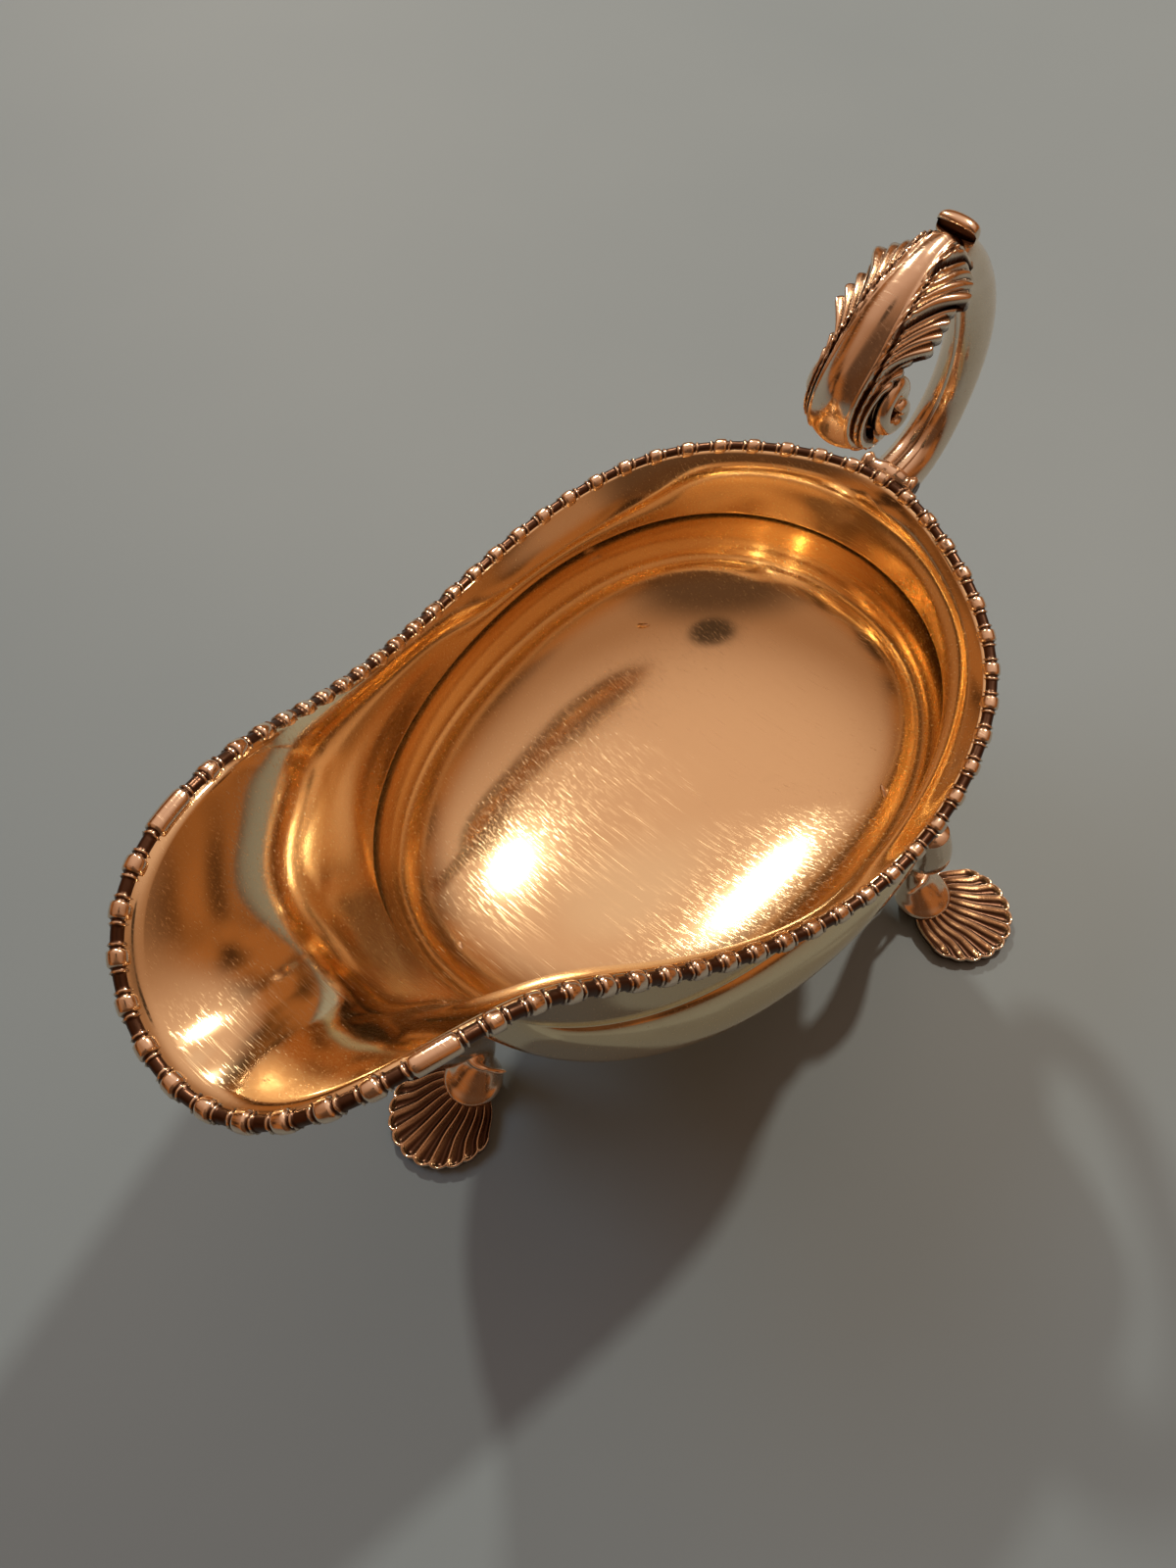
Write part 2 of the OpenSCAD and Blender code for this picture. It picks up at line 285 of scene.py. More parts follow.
class Link:
    def __init__(self, tree, socket):
        self.tree = tree
        self.socket = socket

    def math(self, operation, *others):
        values = dict(enumerate((self, *others)))
        return self.tree.add("ShaderNodeMath", {"operation": operation}, values)

    def __add__(self, other):
        return self.math("ADD", other)

    def __sub__(self, other):
        return self.math("SUBTRACT", other)

    def __rsub__(self, other):
        return self.tree.add("ShaderNodeMath", {"operation": "SUBTRACT"}, {0: other, 1: self})

    def __mul__(self, other):
        return self.math("MULTIPLY", other)

    __radd__ = __add__
    __rmul__ = __mul__

    def step(self, low, high):
        """0 below low, 1 above high, and a smooth rise between."""
        values = {"Value": self, "From Min": low, "From Max": high}
        return self.tree.add("ShaderNodeMapRange", {"interpolation_type": "SMOOTHSTEP"}, values)


class Tree:
    def __init__(self, owner):
        self.nodes = owner.nodes
        self.links = owner.links

    def add(self, kind, settings=None, inputs=None, out=0):
        node = self.nodes.new(kind)
        for key, value in (settings or {}).items():
            setattr(node, key, value)
        for key, value in (inputs or {}).items():
            if isinstance(value, Link):
                self.links.new(value.socket, node.inputs[key])
            else:
                node.inputs[key].default_value = value
        return Link(self, node.outputs[out])

    def noise(self, place, scale, detail, roughness=0.5):
        values = {"Vector": place, "Scale": scale, "Detail": detail, "Roughness": roughness}
        return self.add("ShaderNodeTexNoise", {}, values)

    def blend(self, factor, a, b):
        """Colour a where the factor is 0, and colour b where it is 1."""
        return self.add("ShaderNodeMix", {"data_type": "RGBA"}, {"Factor": factor, "A": a, "B": b}, out=2)

    def vector(self, operation, a, b, out=0):
        return self.add("ShaderNodeVectorMath", {"operation": operation}, {0: a, 1: b}, out=out)


print("sums that need no call:", [name for name in vars(Link) if name.strip("_") in ("add", "sub", "mul")])

# %% [markdown]
# ## Silver
# Silver is a plain metal shader: what makes it look real is what it mirrors and how it is worn. The bowl
# mirrors itself several times over, and each bounce takes a little blue out of the light, so a faintly
# warm silver turns amber inside the bowl by itself. Over that lie three things: long soft waves left
# by the hammer, fine scratches from years of polishing, and tarnish, which is dark and dull, in the
# hollows where *relief* is low. Where *relief* is set low under the bell's lip, inside the thumb's hook
# and on the scroll's core, the same dark colour is painted shade. The cast pieces are worn to a paler,
# pinker tone than the sheet.

# %% The silver shader
CLEAN_SILVER = (0.96, 0.77, 0.48, 1)
WARM_SILVER = (0.90, 0.73, 0.55, 1)
# Dark and dull: real tarnish in the hollows, and painted shade where relief is set low for it
TARNISH_AND_SHADE = (0.10, 0.055, 0.036, 1)
# Each set of scratches: its angle, how many cross a metre, and how rare they are
SCRATCH_SETS = ((0.4, 4600, 0.63), (1.7, 3900, 0.64), (2.6, 5200, 0.65))
WAVE_DEPTH = 0.002
SCRATCH_DEPTH = 0.00004


def scratches(tree, place, angle, across, rare):
    """Thin broken lines in one direction, as 0 to 1."""
    values = {"Vector": place, "Rotation": (0.3 * angle, 0.5 * angle, angle)}
    values["Scale"] = (across, across * 0.018, across * 0.4)
    turned = tree.add("ShaderNodeMapping", {"vector_type": "POINT"}, values)
    return tree.noise(turned, 1.0, 1.0, 0.4).step(rare, rare + 0.05)


def silver(name, colour, roughness, waves, wave_size, tarnish=True):
    material = bpy.data.materials.new(name)
    material.use_nodes = True
    tree = Tree(material.node_tree)
    shader = material.node_tree.nodes["Principled BSDF"]
    shader.inputs["Metallic"].default_value = 1.0
    place = tree.add("ShaderNodeTexCoord", out="Object")
    clouds = tree.noise(place, 55.0, 4.0, 0.6)
    first, second, third = (scratches(tree, place, *one) for one in SCRATCH_SETS)
    lines = first + second + third
    if tarnish:
        # Low relief turns the colour dark: tarnish in the hollows, and painted shade under the bell's lip, in
        # the hook and on the scroll's core
        relief = tree.add("ShaderNodeAttribute", {"attribute_name": "relief"}, out="Fac")
        dirt_and_shade = 1 - (relief + (clouds - 0.5) * 0.35).step(0.18, 0.72)
    else:
        dirt_and_shade = clouds.step(0.6, 0.8) * 0.1
    tree.links.new(tree.blend(dirt_and_shade, colour, TARNISH_AND_SHADE).socket, shader.inputs["Base Color"])
    rough = roughness + clouds * 0.05 + lines * 0.1 + dirt_and_shade * 0.16
    tree.links.new(rough.socket, shader.inputs["Roughness"])
    hammered = tree.noise(place, wave_size, 0.6, 0.4)
    swell = tree.add("ShaderNodeBump", {}, {"Strength": waves, "Distance": WAVE_DEPTH, "Height": hammered})
    grooves = {"Strength": 0.025, "Distance": SCRATCH_DEPTH, "Height": 1 - lines, "Normal": swell}
    tree.links.new(tree.add("ShaderNodeBump", {}, grooves).socket, shader.inputs["Normal"])
    return material


bowl_silver = silver("polished_silver", CLEAN_SILVER, 0.075, waves=0.07, wave_size=34, tarnish=False)
border_silver = silver("gadroon_silver", WARM_SILVER, 0.12, waves=0.05, wave_size=45)
cast_silver = silver("cast_silver", WARM_SILVER, 0.13, waves=0.12, wave_size=160)
print("materials:", [m.name for m in bpy.data.materials])

# %% [markdown]
# ## The bowl
# The real bowl is one sheet of silver, raised with hammers: a flared band under the rim, a fine line at
# its neck, and a round belly. At the front the same sheet swings out into the lip. It could be carved
# from a subdivided cage, but a cage is hard to keep even on mirror metal. Here every upright section is
# a formula: two Bezier curves and an oval, which blend from the shape beside the handle to that of the
# spout. The sheet's inside is the same surface moved in by its thickness.

# %% The bowl's sections
BOWL_COLUMNS = 384
BAND_ROWS, NECK_ROWS, BASE_ROWS = 26, 14, 40
CREASE_GAP = 0.02
BELLY_BACK, NECK_BACK, BOWL_FRONT = 57, 54, 67
NECK_INSET = 4.5
FULLNESS = 0.0245
# A section turns into the spout's as its rim stands out from the neck by 6 to 42 mm
SPOUT_STARTS, SPOUT_GROWS = 6, 36


def soft_oval(angle, back, front, half_width, fullness):
    """Reach of an egg-shaped oval at an angle; fullness swells its shoulders."""
    c, s = np.cos(angle), np.sin(angle)
    reach = mix(front, back, smoother((c + 0.35) / 0.7))
    turn = np.arctan2(s / half_width, c / reach)
    return (1 + fullness * np.sin(2 * turn) ** 2) / np.hypot(c / reach, s / half_width)


def belly_reach(angle):
    return soft_oval(angle, BELLY_BACK, BOWL_FRONT, BELLY_HALF_WIDTH, FULLNESS)


def neck_reach(angle):
    return soft_oval(angle, NECK_BACK, BOWL_FRONT, BELLY_HALF_WIDTH - NECK_INSET, FULLNESS)


def belly_at_height(angle, z):
    """Reach of the bowl below its widest line."""
    drop = np.clip((BELLY_HEIGHT - z) / (BELLY_HEIGHT - BOTTOM_HEIGHT), 0, 1)
    return belly_reach(angle) * np.sqrt(1 - drop**2) * (1 + 0.014 * drop)


def section(rim_point):
    """Outer section below a rim point: rows of (reach, height) from the rim to the bottom."""
    angle = np.arctan2(rim_point[1], rim_point[0])
    top = np.array([np.hypot(rim_point[0], rim_point[1]), rim_point[2]])
    neck = np.array([neck_reach(angle), NECK_HEIGHT])
    belly = np.array([belly_reach(angle), BELLY_HEIGHT])
    spout = smoother((top[0] - neck[0] - SPOUT_STARTS) / SPOUT_GROWS)
    reach = np.linalg.norm(top - neck)
    # The slopes at the rim and at the neck, and the way the shoulder leaves the neck: beside the handle
    # the band flares from a crisp neck, and in the spout the wall runs on almost straight
    flare, throat = np.radians(mix(48, 16, spout)), np.radians(mix(86, 64, spout))
    swell = mix(np.array([2.6, -2.2]), np.array([-0.8, -3.0]), spout)
    t = np.concatenate([np.linspace(0, 1 - CREASE_GAP, BAND_ROWS - 1), [1 - CREASE_GAP / 3]])[:, None]
    leave = top - 0.42 * reach * np.array([np.cos(flare), np.sin(flare)])
    arrive = neck + 0.38 * reach * np.array([np.cos(throat), np.sin(throat)])
    band = bezier(top, leave, arrive, neck, t)
    t = np.concatenate([[0, 0.03], np.linspace(0.08, 1, NECK_ROWS - 1)[:-1]])[:, None]
    shoulder = bezier(neck, neck + swell, belly + [0, 4.5], belly, t)
    turn = np.linspace(0, np.pi / 2, BASE_ROWS + 1)[:-1]
    full = 1 + 0.017 * np.sin(2 * turn) ** 2
    depth = BELLY_HEIGHT - BOTTOM_HEIGHT
    base = np.stack([belly[0] * np.cos(turn) * full, BELLY_HEIGHT - depth * np.sin(turn) * full], axis=1)
    return np.vstack([band, shoulder, base])


print("half widths of belly and neck:", belly_reach(np.pi / 2).round(1), neck_reach(np.pi / 2).round(1), "mm")

# %% [markdown]
# Hammered sheet has the same thickness all over, so the inside is the outside moved along its own
# normals. The two skins meet in a narrow flat edge at the rim, under the border, and each is closed by a
# fan at its lowest point.

# %% The bowl's sheet
rim_points = rim(np.arange(BOWL_COLUMNS) / BOWL_COLUMNS)
angles = np.arctan2(rim_points[:, 1], rim_points[:, 0])
flat = np.array([section(p) for p in rim_points])
ways = np.stack([np.cos(angles), np.sin(angles)], axis=-1)[:, None, :]
outer = np.concatenate([flat[..., :1] * ways, flat[..., 1:]], axis=-1).transpose(1, 0, 2)


def grid_normals(grid):
    """Unit normals of a grid that wraps round its columns; they point into the bowl."""
    across = np.roll(grid, -1, axis=1) - np.roll(grid, 1, axis=1)
    down = np.gradient(grid, axis=0)
    n = np.cross(across, down)
    return n / np.linalg.norm(n, axis=-1, keepdims=True)


def bowl_object():
    inner = outer + grid_normals(outer) * SHEET
    rows, columns = outer.shape[:2]
    half = rows * columns
    poles = [[0, 0, BOTTOM_HEIGHT], [0, 0, BOTTOM_HEIGHT + SHEET]]
    points = np.vstack([outer.reshape(-1, 3), inner.reshape(-1, 3), poles])
    faces = grid_faces(rows, columns) + grid_faces(rows, columns, start=half)
    edge = (rows - 1) * columns
    for k in range(columns):
        n = (k + 1) % columns
        faces += [(k, n, half + n, half + k)]
        faces += [(edge + k, edge + n, 2 * half), (half + edge + k, half + edge + n, 2 * half + 1)]
    return outward(new_object("bowl_sheet", points, faces, np.ones(len(points))))


finish_piece(bowl_object(), ["bowl"], bowl_silver)

# %% [markdown]
# ## The gadrooned border
# A cast wire is soldered on the edge of the bowl in two lengths, with long plain lobes where they meet
# at the root of the lip. Its pattern repeats 68 times: a round lobe, a fine ridge, a dark sunk panel and
# another ridge. An array modifier could bend one unit round a curve, but it would stretch it. In
# Geometry Nodes the wire is swept along the rim with *Curve to Mesh*, and its own place along the curve
# says how far each point is pushed in or out. The same numbers become the *relief* attribute.

# %% The border's sockets and its line
BORDER_UNITS = 68
LIP_UNITS = 12
BORDER_RADIUS = 1.62
WIRE_SIDES = 20


def border_sockets(group):
    face = group.interface
    face.new_socket("Geometry", in_out="INPUT", socket_type="NodeSocketGeometry")
    for name, kind, value in (
        ("Units", "NodeSocketFloat", 56.0),
        ("Steps", "NodeSocketInt", 1200),
        ("Radius", "NodeSocketFloat", BORDER_RADIUS * MM),
        ("Plain end", "NodeSocketFloat", 0.35),
        ("Slant", "NodeSocketFloat", 0.05),
    ):
        face.new_socket(name, in_out="INPUT", socket_type=kind).default_value = value
    face.new_socket("Material", in_out="INPUT", socket_type="NodeSocketMaterial")
    face.new_socket("Geometry", in_out="OUTPUT", socket_type="NodeSocketGeometry")


def captured_line(tree, given):
    """An evenly divided curve, and what its points remember: their place along it and their position."""
    line = tree.add("GeometryNodeMeshToCurve", {}, {"Mesh": given["Geometry"]})
    line = tree.add("GeometryNodeResampleCurve", {"mode": "COUNT"}, {"Curve": line, "Count": given["Steps"]})
    capture = tree.nodes.new("GeometryNodeCaptureAttribute")
    capture.domain = "POINT"
    capture.capture_items.new("FLOAT", "along")
    capture.capture_items.new("VECTOR", "middle")
    sources = (line, tree.add("GeometryNodeSplineParameter"), tree.add("GeometryNodeInputPosition"))
    for i, source in enumerate(sources):
        tree.links.new(source.socket, capture.inputs[i])
    return [Link(tree, capture.outputs[i]) for i in range(len(sources))]


print("units in the two lengths:", BORDER_UNITS - LIP_UNITS, LIP_UNITS)

# %% [markdown]
# One unit of the pattern is a function of one number: how far a point is from the middle of the nearest
# lobe, from 0 to half a unit. The lobe is a plateau round 0 with a domed top, and the ridge is a narrow
# peak between the lobe and the panel. The panel is what is left, lower than both.

# %% The border's node group
LOBE_EDGE = (0.15, 0.2)
RIDGE_AT = 0.285
RIDGE_EDGE = (0.008, 0.036)
PANEL_HEIGHT, LOBE_RISE, RIDGE_RISE = 0.66, 0.34, 0.24
LOBE_CROWN = 1.6


def gadroon_shape(unit):
    """The wire's size as a share of its radius, and its polish, from a place counted in units."""
    apart = (unit - unit.math("ROUND")).math("ABSOLUTE")
    lobe = 1 - apart.step(*LOBE_EDGE)
    ridge = 1 - (apart - RIDGE_AT).math("ABSOLUTE").step(*RIDGE_EDGE)
    height = PANEL_HEIGHT + lobe * LOBE_RISE + ridge * RIDGE_RISE
    dome = 1 - apart * apart * LOBE_CROWN * lobe
    return height * dome, (lobe + ridge).math("MINIMUM", 1.0)


def border_group():
    group = bpy.data.node_groups.new("gadrooned_wire", "GeometryNodeTree")
    border_sockets(group)
    tree = Tree(group)
    entry = group.nodes.new("NodeGroupInput")
    given = {socket.name: Link(tree, socket) for socket in entry.outputs}
    curve, along, middle = captured_line(tree, given)
    circle = {"Resolution": WIRE_SIDES, "Radius": given["Radius"]}
    ring = tree.add("GeometryNodeCurvePrimitiveCircle", {"mode": "RADIUS"}, circle)
    sweep = {"Curve": curve, "Profile Curve": ring, "Fill Caps": True}
    wire = tree.add("GeometryNodeCurveToMesh", {}, sweep)
    # Each point is pushed along its own spoke; the higher it lies, the further the pattern slants
    spoke = tree.vector("SUBTRACT", tree.add("GeometryNodeInputPosition"), middle)
    way = tree.add("ShaderNodeVectorMath", {"operation": "NORMALIZE"}, {0: spoke})
    rise = tree.add("ShaderNodeSeparateXYZ", {}, {"Vector": way}, out=2)
    plain = given["Plain end"]
    unit = along * (given["Units"] + 2 * plain) - plain
    unit = unit.math("MAXIMUM", 0.0).math("MINIMUM", given["Units"]) + rise * given["Slant"]
    size, polish_and_shade = gadroon_shape(unit)
    push = tree.add("ShaderNodeVectorMath", {"operation": "SCALE"}, {0: spoke, "Scale": size - 1})
    wire = tree.add("GeometryNodeSetPosition", {}, {"Geometry": wire, "Offset": push})
    stored = {"Geometry": wire, "Name": "relief", "Value": polish_and_shade}
    wire = tree.add("GeometryNodeStoreNamedAttribute", {"data_type": "FLOAT", "domain": "POINT"}, stored)
    wire = tree.add("GeometryNodeSetShadeSmooth", {}, {"Geometry": wire})
    wire = tree.add("GeometryNodeRealizeInstances", {}, {"Geometry": wire})
    wire = tree.add("GeometryNodeSetMaterial", {}, {"Geometry": wire, "Material": given["Material"]})
    leave = group.nodes.new("NodeGroupOutput")
    group.links.new(wire.socket, leave.inputs["Geometry"])
    return group


def run_group(carrier, group, name, **sizes):
    """Gives a carrier the node group, sets its named inputs, and returns the result as a plain mesh."""
    modifier = carrier.modifiers.new("shape", "NODES")
    modifier.node_group = group
    for item in group.interface.items_tree:
        key = item.name.replace(" ", "_").lower()
        if item.item_type == "SOCKET" and item.in_out == "INPUT" and key in sizes:
            modifier[item.identifier] = sizes[key]
    graph = bpy.context.evaluated_depsgraph_get()
    mesh = bpy.data.meshes.new_from_object(carrier.evaluated_get(graph))
    bpy.data.objects.remove(carrier)
    mesh.name = name
    return in_scene(name, mesh)


gadroons = border_group()
print("nodes in the border's group:", len(gadroons.nodes))

# %% [markdown]
# The group only needs a line to follow. It is read from the rim's spline, a little outside the sheet's
# edge, so that the wire hugs the edge. The result is turned into a plain mesh at once, because
# an exported piece can't keep its modifiers.

# %% The two lengths of border
STEPS_PER_UNIT = 26
WIRE_OUT, WIRE_UP = 0.4, 0.3
NEARBY = 0.0004


def border_line(first, last, steps):
    """Middle of the wire, a little out and up from the sheet's edge, as a chain of edges."""
    share = np.linspace(first, last, steps) / BORDER_UNITS
    along = rim(share + NEARBY) - rim(share - NEARBY)
    out = np.cross(along, [0, 0, 1])
    out /= np.linalg.norm(out, axis=1, keepdims=True)
    points = (rim(share) + out * WIRE_OUT + [CENTRE_X, 0, WIRE_UP]) * MM
    mesh = bpy.data.meshes.new("border_line")
    mesh.from_pydata(points.tolist(), [(i, i + 1) for i in range(steps - 1)], [])
    return in_scene("border_line", mesh)


lip_first = (BORDER_UNITS - LIP_UNITS) / 2
for name, node, first, count in (
    ("bowl_gadroons", "bowl_border", lip_first + LIP_UNITS, BORDER_UNITS - LIP_UNITS),
    ("lip_gadroons", "lip_border", lip_first, LIP_UNITS),
):
    steps = count * STEPS_PER_UNIT
    carrier = border_line(first, first + count, steps)
    piece = run_group(carrier, gadroons, name, units=float(count), steps=steps, material=border_silver)
    finish_piece(outward(piece), [node], border_silver)

# %% [markdown]
# ## The handle
# The scroll handle is cast in two halves and soldered along its middle. It leaves the rim, rises, and
# rolls over into a scroll above the bowl, with a leaf laid over the top. The stem's line is a spline
# through a few points in the middle plane, each with the stem's radius there. The two halves are half
# tubes that meet on that plane, with a shallow valley along the joint near the root.

# %% The stem
STEM = 4.2
TOP = 134.0
handle_line = [
    [60, 78, STEM + 0.6],
    [70, 79.5, STEM + 0.3],
    [77, 88, STEM],
    [78.6, 101, STEM],
    [74.8, 113.5, STEM],
    [68, 124, STEM - 0.2],
    [60, TOP - 3.8, STEM - 0.4],
    [50, TOP - 4.4, STEM - 0.6],
    [41, TOP - 9.4, STEM - 0.8],
    [36.2, 118.4, STEM - 1],
    [38.2, 112.6, STEM - 1.2],
    [43, 111.6, STEM - 1.6],
    [46, 114.6, STEM - 2],
]
handle_at, handle_length = spline(handle_line)
handle_knots = lengths_along(np.array(handle_line))


def handle_frame(distance):
    """Middle point, radius, and the unit vectors along and out of the scroll, in the XZ plane."""
    q = handle_at(distance)
    ahead = handle_at(np.minimum(distance + 0.05, handle_length))
    behind = handle_at(np.maximum(distance - 0.05, 0))
    d = (ahead - behind)[..., :2]
    d /= np.linalg.norm(d, axis=-1, keepdims=True)
    out = np.stack([d[..., 1], -d[..., 0]], axis=-1)
    return q[..., :2], q[..., 2], d, out


def stem_half(name, side):
    steps, around = 150, 25
    distance = np.linspace(0, handle_length, steps)
    q, radius, d, out = handle_frame(distance)
    turn = np.linspace(-np.pi / 2, np.pi / 2, around)
    near_joint = np.exp(-(((np.pi / 2 - np.abs(turn)) / 0.3) ** 2))
    valley = 0.14 * (1 - smoothstep(8, 38, distance))[:, None] + 0.004
    r = radius[:, None] * (1 - valley * near_joint[None, :])
    lift = r * np.sin(turn)[None, :]
    x = q[:, 0, None] + out[:, 0, None] * lift
    z = q[:, 1, None] + out[:, 1, None] * lift
    y = side * r * np.cos(turn)[None, :]
    relief = 1 - 4 * valley * near_joint[None, :]
    return tube_object(name, np.stack([x, y, z], axis=-1), relief)


for name, node, side in (("stem_left", "handle_half_left", 1), ("stem_right", "handle_half_right", -1)):
    finish_piece(stem_half(name, side), [node], cast_silver)

# %% [markdown]
# ## The leaf
# The leaf has a smooth middle rib with a fine bead along each edge, and three clusters of feathered
# lobes on each side, each lying over the next like tiles. All of it is one sheet over the stem: the
# place of a point along and across the leaf gives its height, from the rib, the flutes and the steps
# between clusters. The outline is scalloped by the same flutes, so edge and relief always agree.

# %% The leaf's relief
LEAF_FROM, LEAF_TO = 6, 11
LEAF_THICKNESS = 1.6
LEAF_HALF_WIDTH = 8.6
FLUTE_PITCH = 2.5
FLUTES_IN_CLUSTER = 4
FEATHER_SWEEP = 12.5
TILE_STEP = 1.2
SMOOTH_FROM, SMOOTH_TO = 0.5, 0.68


def leaf_parts(t, v, half):
    """Height above the stem and relief at share t along the leaf and v across it, from -1 to 1."""
    # The rib widens towards the scroll; side runs from 0 at its bead to 1 at the leaf's edge
    length = handle_knots[LEAF_TO] - handle_knots[LEAF_FROM]
    rib = mix(1.4, 3.7, smoothstep(-0.1, 0.6, t)) * mix(1, 1.25, smoothstep(0.7, 1, t))
    across = np.abs(v) * half
    side = np.clip((across - rib) / (half - rib), 0, 1)
    sweep = t * length + FEATHER_SWEEP * side**0.7
    flute = sweep / FLUTE_PITCH
    cluster = flute / FLUTES_IN_CLUSTER
    in_flute, in_cluster = flute - np.floor(flute), cluster - np.floor(cluster)
    ridge = np.abs(np.sin(np.pi * in_flute)) ** 0.7
    lower = smoothstep(SMOOTH_FROM, SMOOTH_TO, t)
    feather = ridge + TILE_STEP * in_cluster
    # Near the scroll the feathers give way to a few smooth bands
    bands = 0.55 + 0.45 * np.cos(2 * np.pi * side * 2.2)
    sides = mix(feather, bands, lower)
    on_rib = 1 - smoothstep(rib - 0.25, rib + 0.35, across)
    bead = np.exp(-(((across - rib - 0.05) / 0.32) ** 2))
    second = np.exp(-(((across - rib - 1.15) / 0.3) ** 2)) * (0.7 + 0.3 * np.sin(t * length * 5.5))
    crown = 1.5 - 0.45 * (across / rib) ** 2
    height = mix(sides - 0.25, np.maximum(crown, 0.6), on_rib) + 0.45 * bead + 0.4 * second
    relief = np.clip(mix(mix(ridge * smoothstep(0, 0.25, in_cluster), bands, lower), 1, on_rib), 0, 1)
    relief = np.maximum(relief - 0.9 * np.exp(-(((across - rib - 0.6) / 0.22) ** 2)), bead)
    return height, relief, side, in_flute, in_cluster


def leaf_object():
    steps, across = 300, 111
    t = np.linspace(0, 1, steps)[:, None]
    v = np.linspace(-1, 1, across)[None, :]
    distance = mix(handle_knots[LEAF_FROM], handle_knots[LEAF_TO], t[:, 0])
    q, radius, d, out = handle_frame(distance)
    half = LEAF_HALF_WIDTH * mix(0.72, 1, smoothstep(0, 0.25, t)) * mix(1, 0.66, smoothstep(0.3, 0.72, t))
    half = half * np.ones_like(v)
    height, relief, side, in_flute, in_cluster = leaf_parts(t, v, half)
    teeth = smoothstep(0.5, 1, side) * (1 - smoothstep(SMOOTH_FROM, SMOOTH_TO, t))
    scallop = 0.8 * np.abs(np.sin(np.pi * in_flute)) + 1.9 * in_cluster - 1.5
    y = v * (half + teeth * scallop)
    droop = 4.6 * (np.abs(v) ** 1.8) * mix(1, 0.3, smoothstep(0.5, 0.8, t))
    cove = 1.6 * (1 - smoothstep(0, 0.07, t))
    lift = radius[:, None] + LEAF_THICKNESS - 1.2 - droop - cove
    lift = lift + height * mix(0.75, 1, smoothstep(0, 0.2, t))
    under = radius[:, None] - 0.5 - droop
    layers = []
    for level in (lift, np.minimum(under, lift - 0.5)):
        x = q[:, 0, None] + out[:, 0, None] * level
        z = q[:, 1, None] + out[:, 1, None] * level
        layers.append(np.stack([x, y * np.ones_like(x), z], axis=-1))
    layers[1][..., 1] *= 0.97
    rings = np.concatenate([layers[0], layers[1][:, ::-1]], axis=1)
    marks = np.concatenate([relief, 0.2 * np.ones_like(relief)], axis=1)
    return tube_object("leaf_cap", rings, marks)


finish_piece(leaf_object(), ["handle_leaf_cap"], cast_silver)

# %% [markdown]
# ## Scrolls and collar
# The tip of the leaf rises and rolls over into an open hook where the thumb rests. Both sides of the big
# scroll end in a volute, a tapering rod that winds in to an eye and steps outwards as it turns, like a
# snail's shell. Where the handle meets the rim there is a moulded collar. Three helpers make them: one
# spins an outline round an axis across the handle, one sweeps a round rod, and one joins the results.

# %% Turned bars and rods
ROUND_STEPS = 64


def turned_bar(name, x, z, outline, polish_and_shade=1.0, tarnish=0.0):
    """Spins an outline of (distance across, radius) round an axis along Y; its necks keep the tarnish."""
    line_at, length = spline(outline)
    y, r = line_at(np.linspace(0, length, 60)).T
    turn = np.linspace(0, 2 * np.pi, ROUND_STEPS, endpoint=False)
    wide, high = r[:, None] * np.cos(turn), r[:, None] * np.sin(turn)
    rings = np.stack([x + wide, y[:, None] * np.ones(ROUND_STEPS), z + high], axis=-1)
    relief = np.clip(polish_and_shade - tarnish * (r.max() - r), 0, 1)
    return tube_object(name, rings, relief[:, None] * np.ones(ROUND_STEPS))


def rod(points, radii, around=20):
    """Rings of a round rod along points, carried without twist."""
    points, radii = np.array(points), np.array(radii)
    along = np.gradient(points, axis=0)
    along /= np.linalg.norm(along, axis=1, keepdims=True)
    side = np.cross(along[0], [0, 0, 1.0])
    if np.linalg.norm(side) < 0.1:
        side = np.cross(along[0], [1.0, 0, 0])
    rings = []
    turn = np.linspace(0, 2 * np.pi, around, endpoint=False)
    for p, d, r in zip(points, along, radii):
        side = side - d * side.dot(d)
        side /= np.linalg.norm(side)
        up = np.cross(d, side)
        rings.append(p + r * (np.cos(turn)[:, None] * side + np.sin(turn)[:, None] * up))
    return np.array(rings)


def join(name, parts):
    """Joins objects into one piece and keeps their relief."""
    bpy.ops.object.select_all(action="DESELECT")
    for part in parts:
        part.select_set(True)
    bpy.context.view_layer.objects.active = parts[0]
    bpy.ops.object.join()
    parts[0].name = name
    return parts[0]


print("a rod of 3 points has rings of", rod([[0, 0, 0], [1, 0, 0], [2, 0, 0]], [1, 1, 1]).shape[1], "points")

# %% [markdown]
# The hook is one bent outline: an arc round the back and over the top, a small bead round the free edge,
# and the same arc back inside. It is carried across the handle, and shrinks to nothing at both ends.

# %% The thumb's roll
HOOK_OUTER, HOOK_INNER = 2.35, 1.15
HOOK_START, HOOK_END = -100.0, 105.0
HOOK_HALF_WIDTH = 3.55


def circle_points(radius, first, last, count):
    turn = np.radians(np.linspace(first, last, count))
    return radius * np.stack([np.cos(turn), np.sin(turn)], axis=-1)


